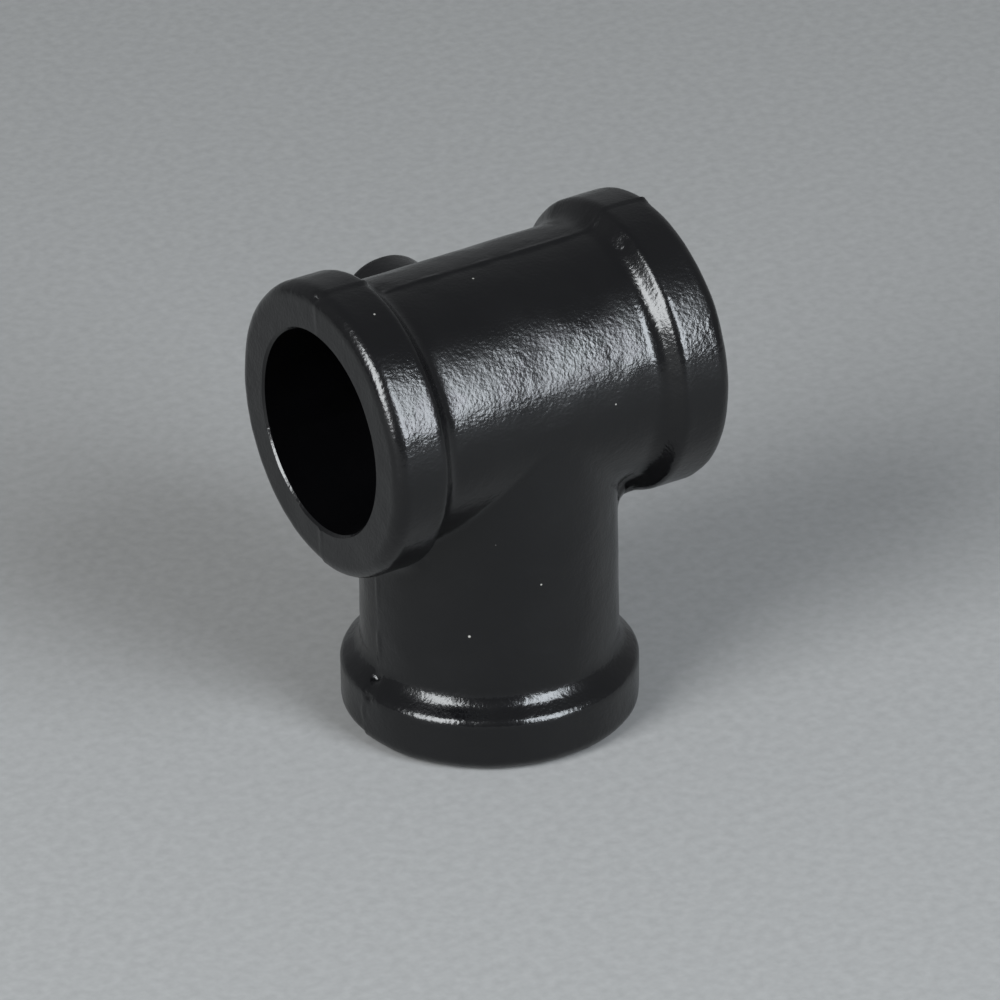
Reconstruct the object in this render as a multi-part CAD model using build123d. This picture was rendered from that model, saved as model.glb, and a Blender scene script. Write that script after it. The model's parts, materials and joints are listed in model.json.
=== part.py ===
from build123d import *
from math import radians, tan
import os

# Cast tube clamp tee. A plain through socket, the run, crosses a plain end socket, the stem.
# A grub screw in a boss on the back of each socket clamps its tube. Sizes are in millimetres,
# +Z is up, the run lies along X, the stem hangs along -Z, the bosses point along +Y, and the
# origin is where the two socket axes cross.

# --- tube and sockets ---------------------------------------------------------------------
tube_d = 33.7                 # outside diameter of the tube that the sockets take
tube_play = 1.1               # socket bore less tube, on the diameter
run_wall = 4.6                # wall of the run between its collars
stem_step = 0.2               # wall of the run less wall of the stem
run_length = 65.0             # through socket, face to face
stem_reach = 60.0             # run axis down to the stem's end face
mouth_chamfer = 0.6           # broken edge round each mouth

# --- rolled collar round each mouth -------------------------------------------------------
collar_wall = 7.8             # bore to the outside of the collar
collar_band = 9.5             # end face to the start of the sloping shoulder
shoulder_length = 2.5         # length of the slope along the axis
shoulder_rounding = 1.9       # round corner between band and slope
neck_rounding = 3.2           # hollow corner between slope and body
face_rounding = 2.8           # round outer edge of the end face

# --- cast fillet between run and stem -----------------------------------------------------
crotch_margin = 0.8           # how much tighter than the hollow neck, which it runs into

# --- grub screws --------------------------------------------------------------------------
screw_d = 10.0                # outside diameter of the thread
screw_length = 14.0
screw_chamfer = 0.8           # at the head end
key_width = 5.0               # hexagon socket across flats
key_depth = 5.5
cup_d = 6.0                   # rim of the cup point
cup_depth = 1.5
point_length = 1.6            # taper from the thread to the cup's rim

# --- screw bosses -------------------------------------------------------------------------
boss_d = 18.9                 # across the face
boss_height = 32.8            # socket axis to boss face
boss_draft = 2.5              # taper of the side, in degrees
boss_rounding = 1.3           # round edge of the face
boss_foot_rounding = 2.0      # cast fillet where the boss leaves the socket
foot_cover = 0.05             # metal of the socket over the run-out of that fillet
thread_play = 0.1             # tapped hole less screw, on the diameter
head_sink = 0.5               # boss face to the head of a screw backed off its tube

# --- sizes that follow --------------------------------------------------------------------
bore_r = (tube_d + tube_play) / 2
run_r = bore_r + run_wall
stem_r = run_r - stem_step
collar_r = bore_r + collar_wall
crotch_rounding = neck_rounding - crotch_margin
screw_hole_r = (screw_d + thread_play) / 2
stem_shoulder = stem_reach - collar_band - shoulder_length
stem_boss_drop = (run_r + stem_shoulder) / 2
to_left = Rot(0, 0, 180)
to_floor = Rot(0, 90, 0)
run_boss_place = Rot(-90, 0, 0)
along_x = Rot(0, 90, 0)
along_z = Rot(90, 0, 0)
stem_boss_place = Pos(0, 0, -stem_boss_drop) * run_boss_place


def rounded_section(points, corners):
    """Flat section through the points, with a radius on each (corner, radius) that is named."""
    section = make_face(Polyline(*points, close=True))
    for corner, radius in corners:
        vertex = section.vertices().sort_by_distance(corner)[0]
        section = fillet(vertex, radius)
    return section


def socket_arm(reach, body_r):
    """Solid arm along +X from the crossing: body, hollow neck, sloping shoulder, band, face."""
    slope_end = reach - collar_band
    slope_start = slope_end - shoulder_length
    neck = (slope_start, body_r)
    shoulder = (slope_end, collar_r)
    face_edge = (reach, collar_r)
    section = rounded_section(
        [(0, 0), (0, body_r), neck, shoulder, face_edge, (reach, 0)],
        [(neck, neck_rounding), (shoulder, shoulder_rounding), (face_edge, face_rounding)],
    )
    return revolve(section, Axis.X)


def joined(first, second, foot_rounding):
    """The two solids as one, with a cast fillet along the edge where they meet."""
    body = first + second
    foot = new_edges(first, second, combined=body)
    return fillet(foot, foot_rounding)


def screw_boss():
    """Drafted round boss along +Z, from the socket axis to its face."""
    face_r = boss_d / 2
    axis_r = face_r + boss_height * tan(radians(boss_draft))
    face_edge = (face_r, boss_height)
    section = rounded_section(
        [(0, 0), (axis_r, 0), face_edge, (0, boss_height)],
        [(face_edge, boss_rounding)],
    )
    return revolve(Plane.XZ * section, Axis.Z)


def footed_boss(socket_r, socket_turn, place):
    """A screw boss with its cast fillet, on a slug of the socket that lies just under its skin."""
    slug_length = boss_d + 4 * boss_foot_rounding
    slug = place * socket_turn * Cylinder(socket_r - foot_cover, slug_length)
    return joined(slug, place * screw_boss(), boss_foot_rounding)


def socket_bore(length):
    """Bore along +X from the crossing, with the broken edge of its mouth."""
    mouth_r = bore_r + mouth_chamfer
    section = make_face(Polyline(
        (0, 0), (0, bore_r), (length - mouth_chamfer, bore_r), (length, mouth_r), (length, 0),
        close=True,
    ))
    return revolve(section, Axis.X)


def tee_casting():
    """One iron casting: two collared sockets and two bosses, filleted together and bored."""
    run_arm = socket_arm(run_length / 2, run_r)
    run = run_arm + to_left * run_arm
    stem = to_floor * socket_arm(stem_reach, stem_r)
    below_axis = Pos(0, 0, -stem_reach / 2) * Box(run_length, 2 * boss_height, stem_reach)
    body = joined(run, stem, crotch_rounding)
    body = body + footed_boss(run_r, along_x, run_boss_place)
    body = body + footed_boss(stem_r, along_z, stem_boss_place)
    body = body + (footed_boss(stem_r, along_z, run_boss_place) & below_axis)
    run_bore = socket_bore(run_length / 2)
    stem_bore = to_floor * socket_bore(stem_reach)
    body = body - run_bore - to_left * run_bore - stem_bore
    screw_hole = Cylinder(screw_hole_r, boss_height, align=(Align.CENTER, Align.CENTER, Align.MIN))
    return body - run_boss_place * screw_hole - stem_boss_place * screw_hole


def grub_screw():
    """Set screw along +Z with its head just under the boss face: hexagon socket, cup point."""
    head = boss_height - head_sink
    tip = head - screw_length
    thread_r = screw_d / 2
    cup_r = cup_d / 2
    section = make_face(Polyline(
        (0, tip + cup_depth), (cup_r, tip), (thread_r, tip + point_length),
        (thread_r, head - screw_chamfer), (thread_r - screw_chamfer, head), (0, head),
        close=True,
    ))
    body = revolve(Plane.XZ * section, Axis.Z)
    key = extrude(RegularPolygon(key_width / 2, 6, major_radius=False), -key_depth)
    return body - Pos(0, 0, head) * key


os.makedirs("parts", exist_ok=True)
export_step(tee_casting(), "parts/tee_casting.step")
export_step(run_boss_place * grub_screw(), "parts/run_grub_screw.step")
export_step(stem_boss_place * grub_screw(), "parts/stem_grub_screw.step")
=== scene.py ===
# %% [markdown]
# A cast tube clamp tee: one black coated iron casting that joins the end of one round tube to the
# side of another, with two grub screws at the back. This lesson loads the fixed frame, then makes
# the casting's skin again as a fine mesh, with the marks that a sand mould leaves on it.

# %% Load the frame
import bpy
import bmesh
import json
import math
import numpy as np
from mathutils import Matrix, Vector


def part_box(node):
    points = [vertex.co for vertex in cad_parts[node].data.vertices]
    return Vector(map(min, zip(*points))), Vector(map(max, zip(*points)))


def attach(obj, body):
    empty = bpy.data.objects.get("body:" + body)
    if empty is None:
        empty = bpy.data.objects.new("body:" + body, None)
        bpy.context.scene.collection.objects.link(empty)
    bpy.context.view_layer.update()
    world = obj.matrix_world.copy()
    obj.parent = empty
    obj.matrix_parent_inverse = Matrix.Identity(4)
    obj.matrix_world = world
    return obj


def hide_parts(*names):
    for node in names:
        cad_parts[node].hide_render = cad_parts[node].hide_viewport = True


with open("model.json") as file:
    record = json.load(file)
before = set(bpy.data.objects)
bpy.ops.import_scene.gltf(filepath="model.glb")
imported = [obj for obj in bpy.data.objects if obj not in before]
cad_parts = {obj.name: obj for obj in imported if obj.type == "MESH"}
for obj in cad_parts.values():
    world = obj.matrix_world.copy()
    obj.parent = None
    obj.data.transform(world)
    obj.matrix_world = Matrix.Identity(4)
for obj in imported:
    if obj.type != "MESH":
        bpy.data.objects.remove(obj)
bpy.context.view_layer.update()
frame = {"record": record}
MM = 0.001

# %% [markdown]
# The sizes that the CAD part fixes are read from its box and its record, so that the skin can't
# drift away from it. The corner radii of the pattern aren't in the frame, so they are named here
# once, in millimetres.

# %% Sizes in millimetres
low, high = (np.array(corner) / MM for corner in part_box("tee_casting"))
mounts = {m["name"]: m for m in frame["record"]["mounts"]}
half_run = high[0]
collar_r = high[2]
boss_face = high[1]
stem_reach = -low[2]
bore_r = mounts["run_bore"]["dims"]["r_mm"]

run_wall = 4.6
stem_step = 0.2
run_r = bore_r + run_wall
stem_r = run_r - stem_step
collar_band = 9.5
shoulder_length = 2.5
shoulder_rounding = 1.9
neck_rounding = 3.2
face_rounding = 2.8
crotch_rounding = 2.4
mouth_chamfer = 0.6
boss_r = 9.45
boss_foot_rounding = 2.0
boss_draft = math.radians(2.5)
boss_rounding = 1.3
screw_hole_r = 5.05
stem_boss_drop = (run_r + stem_reach - collar_band - shoulder_length) / 2
print(f"half run {half_run:.1f}, collar radius {collar_r:.1f}, stem reach {stem_reach:.1f}")

# %% [markdown]
# Nothing in a foundry is quite even: sand grains, a hand-cut pattern and a thick coat all leave
# slow and quick waves. One value-noise function gives them all. It blends random numbers that
# sit on a lattice, so that it can be asked for any place and any wavelength.

# %% Value noise
def noise(places, wavelength, seed):
    """Smooth random field from -1 to 1 at the places: each lattice cell has a random number at
    its eight corners, and f(p) is their mean weighted by s(u)s(v)s(w), with s(u) = u^2(3 - 2u)."""
    side = 48
    grid = np.random.default_rng(seed).uniform(-1, 1, (side, side, side))
    scaled = np.asarray(places) / wavelength + 1000.0
    cell = np.floor(scaled).astype(int)
    part = scaled - cell
    part = part * part * (3 - 2 * part)
    total = np.zeros(len(scaled))
    for corner in np.ndindex(2, 2, 2):
        weight = np.prod(np.where(corner, part, 1 - part), axis=1)
        index = (cell + corner) % side
        total += weight * grid[index[:, 0], index[:, 1], index[:, 2]]
    return total * 1.6


sample = noise(np.random.default_rng(1).uniform(-50, 50, (4000, 3)), 3.0, 5)
print(f"noise: mean {sample.mean():+.2f}, spread {sample.std():.2f}")

# %% [markdown]
# A socket is a profile carried round its axis: plain body, hollow neck, sloping shoulder, rolled
# band and rounded face. The same outline serves twice. Turned into a closed solid, it gives a
# rough start; measured from, it gives the true distance of any point to the socket's skin.

# %% Outlines and the solids they sweep
def rounded(corners, radii, steps=20):
    """Outline through the corners (along, radius). Each inner corner becomes an arc that touches
    both its sides: its centre lies r / sin(half the corner) in along the bisector."""
    path = [np.array(corners[0], float)]
    for before, corner, after, radius in zip(corners, corners[1:], corners[2:], radii):
        corner = np.array(corner, float)
        back = (before - corner) / np.linalg.norm(before - corner)
        forth = (after - corner) / np.linalg.norm(after - corner)
        if radius == 0:
            path.append(corner)
            continue
        half = math.acos(back @ forth) / 2
        centre = corner + (back + forth) / np.linalg.norm(back + forth) * radius / math.sin(half)
        first = corner + back * radius / math.tan(half) - centre
        last = corner + forth * radius / math.tan(half) - centre
        turn = math.pi - 2 * half
        for angle in np.linspace(0, turn, steps + 1):
            blend = first * math.sin(turn - angle) + last * math.sin(angle)
            path.append(centre + blend / math.sin(turn))
    path.append(np.array(corners[-1], float))
    return np.array(path)


def collar_end(reach, body_r):
    """Corners and radii of one collared end, from the neck out to the axis at the face."""
    slope_end = reach - collar_band
    corners = [(slope_end - shoulder_length, body_r), (slope_end, collar_r), (reach, collar_r)]
    return corners + [(reach, 0.0)], [neck_rounding, shoulder_rounding, face_rounding]


def mesh_object(name, places, faces):
    """A new object from points in millimetres."""
    mesh = bpy.data.meshes.new(name)
    mesh.from_pydata((np.asarray(places) * MM).tolist(), [], faces)
    mesh.update()
    made = bpy.data.objects.new(name, mesh)
    bpy.context.scene.collection.objects.link(made)
    return made


def ring_faces(rows, columns):
    """Quads of a grid whose columns close on themselves, with a cap on its first and last row."""
    row, column = np.meshgrid(np.arange(rows - 1), np.arange(columns), indexing="ij")
    after = (column + 1) % columns
    quads = np.stack([row * columns + column, row * columns + after,
                      (row + 1) * columns + after, (row + 1) * columns + column], -1)
    first = list(range(columns))[::-1]
    last = list(range((rows - 1) * columns, rows * columns))
    return quads.reshape(-1, 4).tolist() + [first, last]


def swept(name, outline, origin, axis, columns=96):
    """Closed solid of an outline carried round an axis: P(s, a) = origin + along(s) axis
    + radius(s) (u cos a + v sin a), where u, v and the axis are at right angles."""
    axis = np.array(axis, float)
    u = np.roll(axis, 1)
    v = np.cross(axis, u)
    angle = np.linspace(0, 2 * math.pi, columns, endpoint=False)
    along, radius = np.asarray(outline, float).T
    spoke = np.cos(angle)[:, None] * u + np.sin(angle)[:, None] * v
    places = along[:, None, None] * axis + radius[:, None, None] * spoke[None]
    places = np.array(origin, float) + places.reshape(-1, 3)
    return mesh_object(name, places, ring_faces(len(along), columns))


corners, radii = collar_end(half_run, run_r)
mirrored = [(-along, radius) for along, radius in corners[::-1]]
run_outline = rounded(mirrored + corners, radii[::-1] + radii)
corners, radii = collar_end(stem_reach, stem_r)
stem_outline = rounded([(0.0, 0.0), (0.0, stem_r)] + corners, [0] + radii)
foot_r = boss_r + boss_face * math.tan(boss_draft)
boss_outline = rounded(
    [(0.0, 0.0), (0.0, foot_r), (boss_face, boss_r), (boss_face, 0.0)], [0, boss_rounding])
shapes = [
    ("run", run_outline, (0, 0, 0), (1, 0, 0)),
    ("stem", stem_outline, (0, 0, 0), (0, 0, -1)),
    ("run boss", boss_outline, (0, 0, 0), (0, 1, 0)),
    ("stem boss", boss_outline, (0, 0, -stem_boss_drop), (0, 1, 0)),
]
print("outline points:", {name: len(outline) for name, outline, origin, axis in shapes})

# %% [markdown]
# The four solids are first melted together on a half-millimetre lattice, which knows nothing of
# their edges. Each point is then slid along the slope of the distance field until the distance is
# nought. Where two skins meet, the field is blended, and that is the cast fillet. The blend is
# narrower where the skins run alongside each other, as a real fillet is.

# %% Melt the solids together and settle the skin
def distance(places, outline, origin, axis):
    """Signed distance to a solid of revolution, and its slope. In the (along, radius) half plane
    it is the distance to the nearest piece of the outline, negative on its axis side. Where two
    pieces are as near, at a sharp corner, the one that faces the point more squarely counts."""
    axis = np.array(axis, float)
    local = places - np.array(origin, float)
    along = local @ axis
    across = local - along[:, None] * axis
    radius = np.linalg.norm(across, axis=1)
    spoke = across / np.maximum(radius, 1e-9)[:, None]
    flat = np.stack([along, radius], 1)
    start, step = outline[:-1], np.diff(outline, axis=0)
    long_enough = np.linalg.norm(step, axis=1) > 1e-6
    start, step = start[long_enough], step[long_enough]
    normal = np.stack([-step[:, 1], step[:, 0]], 1) / np.linalg.norm(step, axis=1)[:, None]
    result = np.empty(len(flat))
    slope = np.empty_like(flat)
    for chunk in np.array_split(np.arange(len(flat)), 1 + len(flat) // 8000):
        gap = flat[chunk, None] - start
        share = np.clip((gap * step).sum(-1) / (step * step).sum(-1), 0, 1)
        gap = gap - share[..., None] * step
        square = (gap * gap).sum(-1)
        facing = (gap * normal).sum(-1)
        near = (square - 1e-6 * abs(facing)).argmin(1)
        pick = np.arange(len(chunk))
        side = np.where(facing[pick, near] < 0, -1.0, 1.0)
        size = np.sqrt(square[pick, near])
        result[chunk] = side * size
        straight = gap[pick, near] * (side / np.maximum(size, 1e-9))[:, None]
        slope[chunk] = np.where(size[:, None] > 0.02, straight, normal[near])
    return result, slope[:, :1] * axis + slope[:, 1:] * spoke


def blended(first, second, rounding):
    """Union of two fields with a fillet: min(a, b) - (w - |a - b|)^2 / 4w where that is positive,
    with w = 4 r (1 - sqrt((1 + cos) / 2)) for the cosine between the two slopes."""
    (a, slope_a), (b, slope_b) = first, second
    cosine = np.clip((slope_a * slope_b).sum(1), -1, 1)
    width = np.maximum(4 * rounding * (1 - np.sqrt((1 + cosine) / 2)), 1e-6)
    share = np.clip(0.5 + 0.5 * (b - a) / width, 0, 1)
    value = share * a + (1 - share) * b - width * share * (1 - share)
    slope = share[:, None] * slope_a + (1 - share[:, None]) * slope_b
    return value, slope / np.maximum(np.linalg.norm(slope, axis=1), 1e-9)[:, None]


def casting_field(places):
    """Distance to the whole casting before it is bored, and its slope."""
    run, stem, run_boss, stem_boss = (distance(places, *shape[1:]) for shape in shapes)
    field = blended(run, stem, crotch_rounding)
    field = blended(field, run_boss, boss_foot_rounding)
    return blended(field, stem_boss, boss_foot_rounding)


def merged(pieces, name):
    """One object that holds the meshes of all the pieces, which are removed."""
    gathered = bmesh.new()
    for piece in pieces:
        gathered.from_mesh(piece.data)
        bpy.data.objects.remove(piece)
    mesh = bpy.data.meshes.new(name)
    gathered.to_mesh(mesh)
    gathered.free()
    made = bpy.data.objects.new(name, mesh)
    bpy.context.scene.collection.objects.link(made)
    return made


def applied(made):
    """The object's mesh as its modifiers leave it."""
    graph = bpy.context.evaluated_depsgraph_get()
    mesh = bpy.data.meshes.new_from_object(made.evaluated_get(graph))
    made.modifiers.clear()
    made.data = mesh
    return made


def points_of(mesh):
    """Vertex places of a mesh in millimetres."""
    flat = np.empty(3 * len(mesh.vertices), dtype=np.float32)
    mesh.vertices.foreach_get("co", flat)
    return flat.reshape(-1, 3).astype(float) / MM


def move_points(mesh, places):
    """Writes vertex places in millimetres back to the mesh."""
    mesh.vertices.foreach_set("co", (places * MM).astype(np.float32).ravel())
    mesh.update()


lattice_step = 0.5
skin = merged([swept(*shape) for shape in shapes], "casting_skin")
lattice = skin.modifiers.new("lattice", "REMESH")
lattice.mode = "VOXEL"
lattice.voxel_size = lattice_step * MM
lattice.use_smooth_shade = True
applied(skin)
places = points_of(skin.data)
for slide in range(4):
    value, slope = casting_field(places)
    places -= value[:, None] * slope
value, slope = casting_field(places)
move_points(skin.data, places)
print(f"{len(places)} points, furthest from the true skin {abs(value).max():.3f} mm")

# %% [markdown]
# A sand mould opens in two halves. Here they part on the plane y = 0, and the back half sat a
# little high, so that plane shows as a small step all round, with a ragged line of flash on it.
# Sand grains, drips of the coat and a few knocks are laid over it, as heights along the normal.
# The whole skin is dropped by a fifth of a millimetre first, so that none of it leaves the box.

# %% Marks of the mould
mismatch = np.array([0.08, 0.0, 0.22])
flash_height = 0.22
skin_drop = 0.2
box_gap = 0.01
marks = [
    ((-31.7, 0.4, 24.3), 0.9, -0.45),
    ((-18.8, 1.6, 21.9), 1.3, -0.40),
    ((22.0, -8.0, 22.3), 1.5, -0.25),
    ((31.1, -0.4, 24.8), 0.9, 0.30),
    ((-25.1, -1.9, -51.0), 1.1, -0.45),
    ((-22.8, -0.3, -48.7), 1.0, -0.35),
]


def relief(places, normals):
    """Height over the true skin: slow and quick waves, the step between the mould's halves
    S(y) (n . shift), flash f(p) exp(-(y / 0.4)^2), and a bell-shaped dent or lump at each mark."""
    height = 0.07 * noise(places, 11.0, 3) + 0.035 * noise(places, 4.5, 4)
    height += 0.014 * noise(places, 1.7, 6)
    back = np.clip(places[:, 1] / 0.5 + 0.5, 0, 1)
    height += (back * back * (3 - 2 * back) - 0.5) * (normals @ mismatch)
    ragged = np.clip(0.45 + 0.9 * noise(places, 2.6, 8), 0, 1.3)
    height += flash_height * ragged * np.exp(-(places[:, 1] / 0.4) ** 2)
    for centre, spread, depth in marks:
        gap = np.linalg.norm(places - centre, axis=1)
        rough = 1 + 0.6 * noise(places, 0.9, 9)
        height += depth * rough * np.exp(-(gap / spread) ** 2)
    return height


height = relief(places, slope)
height -= skin_drop
places = places + height[:, None] * slope
places = np.clip(places, low + box_gap, high - box_gap)
move_points(skin.data, places)
print(f"relief from {height.min():.2f} to {height.max():.2f} mm")

# %% [markdown]
# The sockets are cast with cores and the screw holes are drilled, so their walls are cleaner than
# the skin. They are cut out of it by plain swept solids with the broken edge of each mouth.

# %% Bore the sockets and the screw holes
def cut(target, tool):
    """Takes the tool's solid out of the target's."""
    boolean = target.modifiers.new("cut", "BOOLEAN")
    boolean.operation = "DIFFERENCE"
    boolean.solver = "MANIFOLD"
    boolean.object = tool
    applied(target)
    bpy.data.objects.remove(tool)


overshoot = 1.0


def core(reach):
    """Outline of a core from the crossing out through one mouth, and past it by the overshoot."""
    wall = [(0.0, 0.0), (0.0, bore_r), (reach - mouth_chamfer, bore_r)]
    flare = (reach + overshoot, bore_r + mouth_chamfer + overshoot)
    return wall + [flare, (reach + overshoot, 0.0)]


through = [(-along, radius) for along, radius in core(half_run)[:1:-1]] + core(half_run)[2:]
hole_end = boss_face + overshoot
hole = [(0.0, 0.0), (0.0, screw_hole_r), (hole_end, screw_hole_r), (hole_end, 0.0)]
def shade_smooth(made, sharp_degrees):
    """Smooth shading, with an edge left sharp where its faces turn by more than the angle."""
    for face in made.data.polygons:
        face.use_smooth = True
    made.data.set_sharp_from_angle(angle=math.radians(sharp_degrees))


cut(skin, swept("run core", through, (0, 0, 0), (1, 0, 0), 192))
cut(skin, swept("stem core", core(stem_reach), (0, 0, 0), (0, 0, -1), 192))
cut(skin, swept("run drill", hole, (0, 0, 0), (0, 1, 0), 64))
cut(skin, swept("stem drill", hole, (0, 0, -stem_boss_drop), (0, 1, 0), 64))
shade_smooth(skin, 35)
print(f"casting skin: {len(skin.data.vertices)} points, {len(skin.data.polygons)} faces")

# %% [markdown]
# A grub screw is a rod with a thread and no head, driven by a hexagon socket sunk in its end. The
# whole skin is one surface of two parameters: how far along the profile, and the angle round it.
# The thread and the hexagon only change the radius, so no cutting is needed.

# %% Grub screws
thread_r = 5.0
root_r = 4.2
pitch = 1.5
thread_depth = 0.75
point_length = 1.6
cup_r = 3.0
cup_depth = 1.5
head_chamfer = 0.8
key_width = 5.0
key_depth = 5.5
screw_length = 14.0
head_sink = 0.5
PLAIN, THREAD, KEY_MOUTH, KEY = range(4)


def grub_screw(name, drop):
    """P(s, a) at height y(s) and radius R(s, a) about the boss's axis. On the thread R falls below
    thread_r by depth * |2 frac(y / pitch + a / 2 pi) - 1| past a flat crest; in the key socket
    R = half the key / cos(a folded into 60 degrees)."""
    head = boss_face - head_sink
    tip = head - screw_length
    key_r = key_width / 2
    cup = [(tip + cup_depth, 0.05), (tip + cup_depth - 0.05, 0.4), (tip + 0.05, cup_r - 0.15)]
    point = [(tip, cup_r), (tip + point_length / 2, 4.05)]
    thread = [(y, thread_r) for y in np.arange(tip + point_length, head - head_chamfer, pitch / 12)]
    crown = [(head - 0.1, 4.3), (head, 4.15), (head, 3.2)]
    key = [(head - 0.35, key_r), (head - key_depth, key_r)]
    profile = [(y, r, PLAIN) for y, r in cup + point]
    profile += [(y, r, THREAD) for y, r in thread]
    profile += [(y, r, PLAIN) for y, r in crown]
    profile += [(head - 0.15, 2.95, KEY_MOUTH)] + [(y, r, KEY) for y, r in key]
    profile += [(head - key_depth - 0.9, 0.05, PLAIN)]
    y, base, kind = (column[:, None] for column in np.array(profile).T)
    columns = 144
    angle = np.linspace(0, 2 * math.pi, columns, endpoint=False)
    wave = abs(2 * ((y / pitch + angle / (2 * math.pi)) % 1) - 1)
    groove = thread_depth * np.clip((wave - 0.12) / 0.76, 0, 1)
    fade = np.clip((head - 0.4 - y) / 1.2, 0, 1) * np.clip((y - tip - 1.0) / 1.2, 0, 1)
    threaded = np.minimum(base - groove, root_r + (thread_r - root_r) * fade)
    fold = (angle + math.pi / 6) % (math.pi / 3) - math.pi / 6
    hexagon = key_r / np.cos(fold)
    cases = [kind == THREAD, kind == KEY, kind == KEY_MOUTH]
    radius = np.select(cases, [threaded, hexagon, hexagon + 0.12], base)
    height = np.broadcast_to(y, radius.shape)
    points = np.stack([radius * np.cos(angle), height, radius * np.sin(angle) - drop], -1)
    made = mesh_object(name, points.reshape(-1, 3), ring_faces(len(profile), columns))
    made.data.flip_normals()
    shade_smooth(made, 28)
    return made


run_screw = grub_screw("run_screw_skin", 0.0)
stem_screw = grub_screw("stem_screw_skin", stem_boss_drop)
print("screw faces:", len(run_screw.data.polygons))

# %% [markdown]
# Two finishes: a thick black coat that hides the iron and shines softly, and the blackened and
# oiled steel of the screws. Each is one Principled shader whose roughness and small relief come
# from noise at a stated size in millimetres.

# %% Finishes
def linear(hexcode):
    """Linear colour of an sRGB hex code: ((c + 0.055) / 1.055)^2.4 above the toe."""
    code = [int(hexcode[i:i + 2], 16) / 255 for i in (1, 3, 5)]
    return tuple(c / 12.92 if c <= 0.04045 else ((c + 0.055) / 1.055) ** 2.4 for c in code) + (1,)


def add(tree, kind, inputs=(), **settings):
    """One node with its settings, and its inputs linked where a socket is given, else set."""
    made = tree.nodes.new(kind)
    for name, value in settings.items():
        setattr(made, name, value)
    for name, value in dict(inputs).items():
        if isinstance(value, bpy.types.NodeSocket):
            tree.links.new(value, made.inputs[name])
        else:
            made.inputs[name].default_value = value
    return made


def finish(name):
    """A new material: its node tree, its shader and the object's own coordinates."""
    material = bpy.data.materials.new(name)
    material.use_nodes = True
    tree = material.node_tree
    shader = tree.nodes["Principled BSDF"]
    where = add(tree, "ShaderNodeTexCoord").outputs["Object"]
    return material, tree, shader, where


def waves(tree, where, size, detail=2.0):
    """Noise whose waves are about this many millimetres long."""
    made = add(tree, "ShaderNodeTexNoise", {"Vector": where, "Scale": 1 / (size * MM),
                                            "Detail": detail, "Roughness": 0.5})
    return made.outputs["Fac"]


def between(tree, value, start, end, to_start, to_end):
    """The value mapped in a straight line from one range to another, and held at its ends."""
    made = add(tree, "ShaderNodeMapRange", {"Value": value, "From Min": start, "From Max": end,
                                            "To Min": to_start, "To Max": to_end})
    return made.outputs["Result"]


specks = [
    ((-14.2, -16.4, -36.0), 0.22), ((-3.3, -21.4, -27.3), 0.16), ((-10.5, -19.0, -18.9), 0.15),
    ((11.3, -21.7, 1.9), 0.15), ((-4.2, -3.2, 21.6), 0.20), ((-26.2, -8.3, 23.6), 0.20),
]


def coated_iron():
    """Satin black coat: orange peel of under a millimetre, soft mottle, and a few specks of dust."""
    material, tree, shader, where = finish("coated cast iron")
    peel = waves(tree, where, 0.6)
    grain = waves(tree, where, 1.6)
    mottle = waves(tree, where, 9.0)
    bump = add(tree, "ShaderNodeBump", {"Height": grain, "Distance": 0.05 * MM, "Strength": 1.0})
    bump = add(tree, "ShaderNodeBump", {"Height": peel, "Distance": 0.06 * MM, "Strength": 1.0,
                                        "Normal": bump.outputs["Normal"]})
    dust = None
    for centre, radius in specks:
        gap = add(tree, "ShaderNodeVectorMath", {0: where, 1: Vector(centre) * MM},
                  operation="DISTANCE").outputs["Value"]
        spot = between(tree, gap, radius * MM * 0.6, radius * MM * 1.3, 1.0, 0.0)
        if dust is None:
            dust = spot
        else:
            dust = add(tree, "ShaderNodeMath", {0: dust, 1: spot}, operation="MAXIMUM").outputs[0]
    colour = add(tree, "ShaderNodeMix", {"Factor": dust, "A": linear("#050506"),
                                         "B": linear("#8f8d88")}, data_type="RGBA")
    tree.links.new(colour.outputs["Result"], shader.inputs["Base Color"])
    tree.links.new(between(tree, mottle, 0.3, 0.7, 0.17, 0.26), shader.inputs["Roughness"])
    tree.links.new(bump.outputs["Normal"], shader.inputs["Normal"])
    shader.inputs["IOR"].default_value = 1.47
    return material


def screw_steel():
    """Blackened steel under oil: dark metal with fine tool streaks worn brighter in places."""
    material, tree, shader, where = finish("blackened steel")
    streak = waves(tree, where, 0.4)
    patch = waves(tree, where, 2.5)
    bump = add(tree, "ShaderNodeBump", {"Height": streak, "Distance": 0.01 * MM, "Strength": 1.0})
    colour = add(tree, "ShaderNodeMix", {"Factor": between(tree, patch, 0.45, 0.7, 0.0, 0.6),
                                         "A": linear("#2b2a2a"), "B": linear("#5a5854")},
                 data_type="RGBA")
    tree.links.new(colour.outputs["Result"], shader.inputs["Base Color"])
    tree.links.new(between(tree, streak, 0.3, 0.7, 0.3, 0.5), shader.inputs["Roughness"])
    tree.links.new(bump.outputs["Normal"], shader.inputs["Normal"])
    shader.inputs["Metallic"].default_value = 1.0
    return material


skin.data.materials.clear()
skin.data.materials.append(coated_iron())
steel = screw_steel()
run_screw.data.materials.append(steel)
stem_screw.data.materials.append(steel)
for piece, body, node, slot in [
    (skin, "casting", "tee_casting", "coated_iron"),
    (run_screw, "run_screw", "run_grub_screw", "screw_steel"),
    (stem_screw, "stem_screw", "stem_grub_screw", "screw_steel"),
]:
    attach(piece, body)
    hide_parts(node)
print("finishes:", [m.name for m in bpy.data.materials])

# %% [markdown]
# The stage is a plain pale grey floor, two soft boxes and a faint even sky. A dark shiny thing
# shows little of its own colour: what draws its form is the shape and the place of the lamps in
# it, so they stand where their images fall on the collars and along the run.

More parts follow.
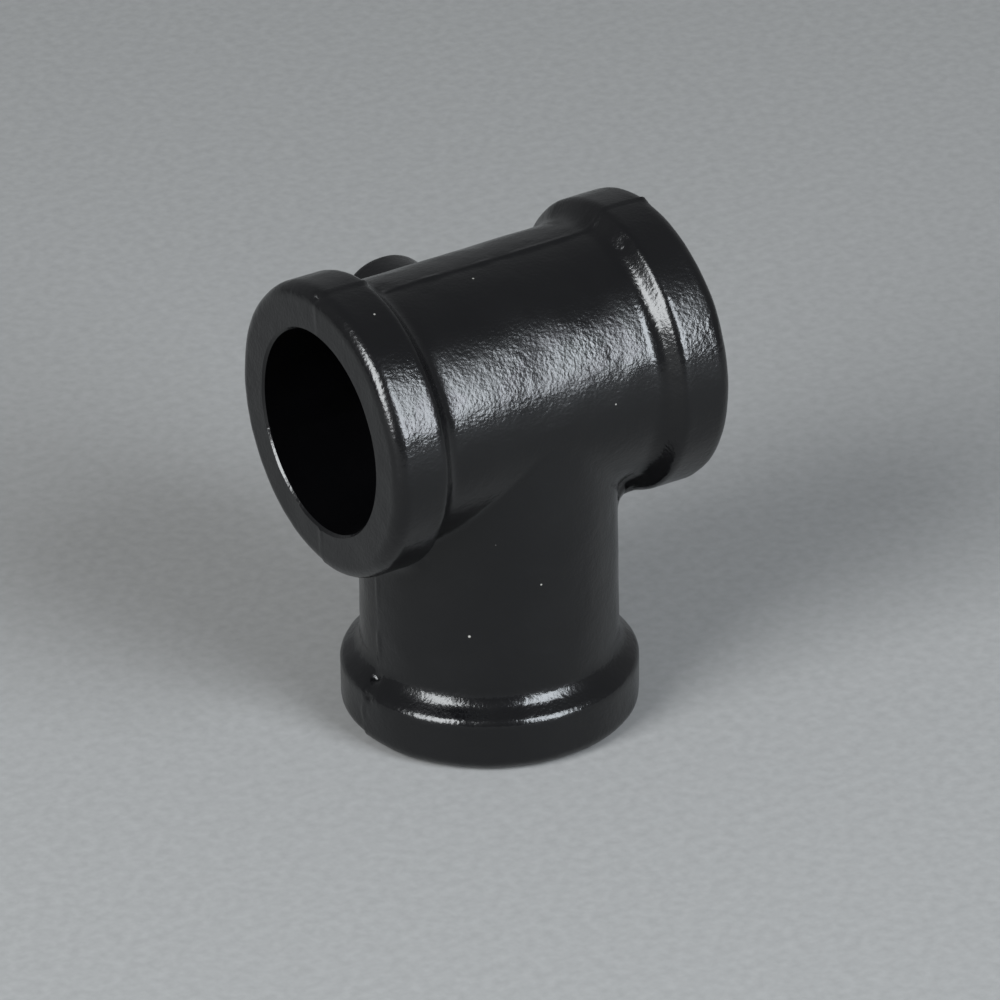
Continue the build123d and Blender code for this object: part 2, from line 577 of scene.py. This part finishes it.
# %% Floor, lamps and camera
def lamp(name, azimuth, height, away, width, tall, power, colour):
    """A soft box that faces the casting from a compass angle (from +Y towards +X) and a height."""
    light = bpy.data.lights.new(name, "AREA")
    light.shape = "RECTANGLE"
    light.size = width
    light.size_y = tall
    light.energy = power
    light.color = colour
    made = bpy.data.objects.new(name, light)
    bpy.context.scene.collection.objects.link(made)
    azimuth, height = math.radians(azimuth), math.radians(height)
    toward = Vector((math.sin(azimuth) * math.cos(height), math.cos(azimuth) * math.cos(height),
                     math.sin(height)))
    made.location = toward * away
    made.rotation_euler = toward.to_track_quat("Z", "Y").to_euler()
    return made


floor_z = low[2]
half = 4000
corners = [(-half, -half, floor_z), (half, -half, floor_z), (half, half, floor_z)]
floor = mesh_object("floor", corners + [(-half, half, floor_z)], [(0, 1, 2, 3)])
material, tree, shader, where = finish("pale floor")
fleck = between(tree, waves(tree, where, 2.0, 6.0), 0.3, 0.7, 0.0, 1.0)
colour = add(tree, "ShaderNodeMix", {"Factor": fleck, "A": linear("#7a7a79"),
                                     "B": linear("#828281")}, data_type="RGBA")
tree.links.new(colour.outputs["Result"], shader.inputs["Base Color"])
shader.inputs["Roughness"].default_value = 0.9
floor.data.materials.append(material)

key = lamp("key soft box", 163, 28, 1.3, 0.55, 1.0, 29.0, (0.88, 0.94, 1.0))
side = lamp("side soft box", -104, 29, 1.3, 0.6, 1.0, 31.0, (0.95, 0.98, 1.0))

world = bpy.data.worlds.new("even sky")
bpy.context.scene.world = world
world.use_nodes = True
background = world.node_tree.nodes["Background"]
background.inputs["Color"].default_value = linear("#8c8e90")
background.inputs["Strength"].default_value = 0.85

azimuth, tilt, roll = math.radians(32.2393), math.radians(28.6068), math.radians(-0.7277)
forward = Vector((math.sin(azimuth) * math.cos(tilt), math.cos(azimuth) * math.cos(tilt),
                  -math.sin(tilt)))
level = Vector((math.cos(azimuth), -math.sin(azimuth), 0))
upright = level.cross(forward)
right = math.cos(roll) * level + math.sin(roll) * upright
upward = math.cos(roll) * upright - math.sin(roll) * level
camera_data = bpy.data.cameras.new("camera")
camera_data.lens = 331.96
camera_data.sensor_width = 36
camera_data.clip_end = 20
camera_place = (-0.7114, -1.1318, 0.7068)
camera = bpy.data.objects.new("camera", camera_data)
bpy.context.scene.collection.objects.link(camera)
camera.matrix_world = Matrix.Translation(camera_place) @ Matrix(
    (right, upward, -forward)).transposed().to_4x4()
bpy.context.scene.camera = camera
bpy.context.scene.view_settings.view_transform = "Standard"
print("camera lens", camera_data.lens)
